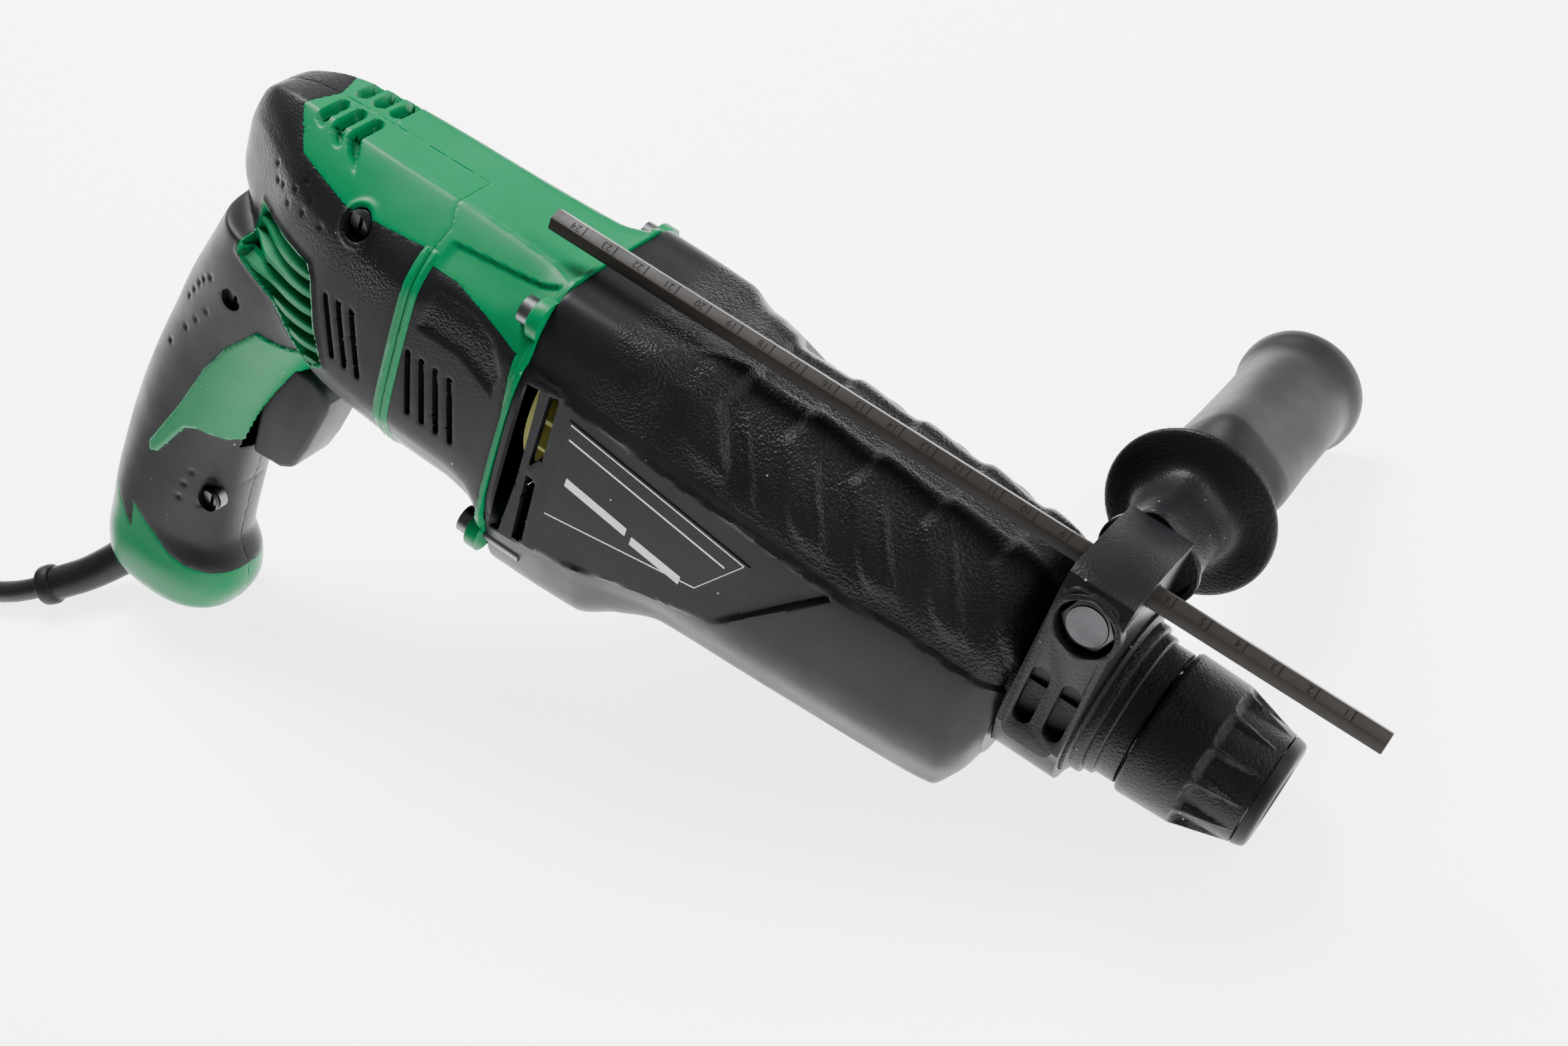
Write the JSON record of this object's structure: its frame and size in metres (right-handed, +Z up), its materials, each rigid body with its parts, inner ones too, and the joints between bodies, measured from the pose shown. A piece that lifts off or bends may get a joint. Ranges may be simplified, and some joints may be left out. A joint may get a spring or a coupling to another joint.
{
  "type": "rotary hammer drill",
  "caption": "Corded rotary hammer with a pistol grip, shank chuck, swinging side handle and sliding depth gauge, resting on its grip foot, chuck and side handle.",
  "frame": {"origin": "middle of the outline on the surface the tool lies on, without the cord", "axes": "+X along the ground in the direction the chuck points; +Z up from the surface; +Y towards the side handle"},
  "size_m": [0.601, 0.3903, 0.1707],
  "materials": {
    "green_shell": "satin moulded",
    "black_shell": "fine leather grain",
    "soft_skin": "fine leather grain",
    "control_plastic": "matte",
    "plate_blank": "printed plate, blank",
    "cast": "die cast",
    "steel": "ground",
    "dark_steel": "blackened",
    "rubber": "matte",
    "copper": "wound and turned",
    "laminations": "laminated",
    "fan_plastic": "moulded",
    "brass_fitting": "pressed",
    "gauge_plastic": "moulded bar",
    "cord_sheath": "smooth",
    "nickel": "nickel plated"
  },
  "bodies": {
    "housing": {"motor_housing": "green_shell", "motor_skin": "soft_skin", "handle_cover": "green_shell", "grip_skin_right": "soft_skin", "grip_skin_left": "soft_skin", "gear_case": "black_shell", "label_plate": "plate_blank", "bearing_plate": "cast", "switch_body": "control_plastic", "gear_screw_1": "dark_steel", "gear_screw_2": "dark_steel", "gear_screw_3": "dark_steel", "gear_screw_4": "dark_steel", "cover_screw_1": "dark_steel", "cover_screw_2": "dark_steel", "cover_screw_3": "dark_steel", "spindle_bearing": "steel", "spindle_seal": "rubber", "counter_bearing_front": "steel", "counter_bearing_rear": "steel", "rotor_bearing_front": "steel", "rotor_bearing_rear": "steel", "stator": "laminations", "brush_holder_left": "brass_fitting", "brush_holder_right": "brass_fitting", "cord_guard": "rubber", "mains_cord": "cord_sheath", "cord_coil": "cord_sheath", "cord_tail": "cord_sheath", "mains_plug": "cord_sheath", "plug_pins": "nickel"},
    "spindle": {"tool_holder": "steel", "front_cap": "rubber", "locking_ball_1": "steel", "locking_ball_2": "steel", "hammer_cylinder": "steel", "spindle_gear": "dark_steel", "sleeve_spring": "steel"},
    "chuck_sleeve": {"chuck_sleeve": "black_shell"},
    "impact_bolt": {"impact_bolt": "steel"},
    "striker": {"striker": "steel"},
    "piston": {"piston": "steel"},
    "countershaft": {"countershaft": "steel", "drive_gear": "dark_steel", "drive_clutch": "dark_steel", "wobble_hub": "steel"},
    "wobble_ring": {"wobble_ring": "dark_steel"},
    "rotor": {"rotor_shaft": "steel", "rotor_core": "copper", "commutator": "copper", "fan": "fan_plastic"},
    "trigger": {"trigger": "control_plastic"},
    "lock_button": {"lock_button": "control_plastic"},
    "reversing_lever": {"reversing_lever": "control_plastic"},
    "mode_lever": {"mode_lever": "control_plastic"},
    "side_handle": {"clamp_holder": "black_shell", "clamp_bolt": "dark_steel", "handle_stem": "black_shell"},
    "side_grip": {"side_grip": "rubber"},
    "depth_gauge": {"depth_gauge": "gauge_plastic"}
  },
  "joints": [
    {"name": "trigger_slide", "type": "slide", "parent": "housing", "child": "trigger", "axis": [-0.9157, 0, 0.4019], "range_m": [0, 0.006], "stiffness_N_per_m": 600, "springref_m": -0.012},
    {"name": "lock_press", "type": "slide", "parent": "housing", "child": "lock_button", "axis": [0.1798, -0.8944, 0.4096], "range_m": [0, 0.0025], "stiffness_N_per_m": 400, "springref_m": -0.006},
    {"name": "reverse_turn", "type": "hinge", "parent": "housing", "child": "reversing_lever", "pos_m": [-0.08814, 0.00079, 0.08515], "axis": [-0.1798, 0.8944, -0.4096], "range_deg": [-20, 20]},
    {"name": "mode_turn", "type": "hinge", "parent": "housing", "child": "mode_lever", "pos_m": [0.0465, 0.01332, 0.04852], "axis": [-0.1798, 0.8944, -0.4096], "range_deg": [0, 120]},
    {"name": "spindle_spin", "type": "hinge", "parent": "housing", "child": "spindle", "pos_m": [0.19499, -0.01083, 0.01362], "axis": [0.9157, 0, -0.4019], "continuous": true},
    {"name": "sleeve_pull", "type": "slide", "parent": "spindle", "child": "chuck_sleeve", "axis": [-0.9157, 0, 0.4019], "range_m": [0, 0.006], "stiffness_N_per_m": 900, "springref_m": -0.01, "deforming": ["sleeve_spring"]},
    {"name": "impact_bolt_slide", "type": "slide", "parent": "spindle", "child": "impact_bolt", "axis": [0.9157, 0, -0.4019], "range_m": [-0.003, 0]},
    {"name": "striker_slide", "type": "slide", "parent": "spindle", "child": "striker", "axis": [0.9157, 0, -0.4019], "range_m": [-0.005, 0]},
    {"name": "countershaft_spin", "type": "hinge", "parent": "housing", "child": "countershaft", "pos_m": [0.18398, -0.02453, -0.01146], "axis": [0.9157, 0, -0.4019], "continuous": true},
    {"name": "rotor_spin", "type": "hinge", "parent": "housing", "child": "rotor", "pos_m": [0.19189, -0.01469, 0.00656], "axis": [0.9157, 0, -0.4019], "continuous": true},
    {"name": "wobble_swing", "type": "hinge", "parent": "housing", "child": "wobble_ring", "pos_m": [0.02649, -0.02453, 0.05767], "axis": [-0.1798, 0.8944, -0.4096], "range_deg": [-12, 12]},
    {"name": "piston_slide", "type": "slide", "parent": "housing", "child": "piston", "axis": [0.9157, 0, -0.4019], "range_m": [-0.0064, 0.0064]},
    {"name": "handle_swing", "type": "hinge", "parent": "housing", "child": "side_handle", "pos_m": [0.14188, -0.01083, 0.03693], "axis": [0.9157, 0, -0.4019], "range_deg": [-25, 6]},
    {"name": "grip_turn", "type": "hinge", "parent": "side_handle", "child": "side_grip", "pos_m": [0.14361, 0.0584, 0.04086], "axis": [-0.1798, 0.8944, -0.4096], "range_deg": [0, 150]},
    {"name": "gauge_slide", "type": "slide", "parent": "side_handle", "child": "depth_gauge", "axis": [0.9157, 0, -0.4019], "range_m": [-0.06, 0.08]}
  ],
  "couplings": [
    {"joint": "countershaft_spin", "follows": "spindle_spin", "ratio": -2.7692},
    {"joint": "rotor_spin", "follows": "spindle_spin", "ratio": 12.462},
    {"joint": "wobble_swing", "follows": "piston_slide", "rad_per_m": 32.653}
  ]
}
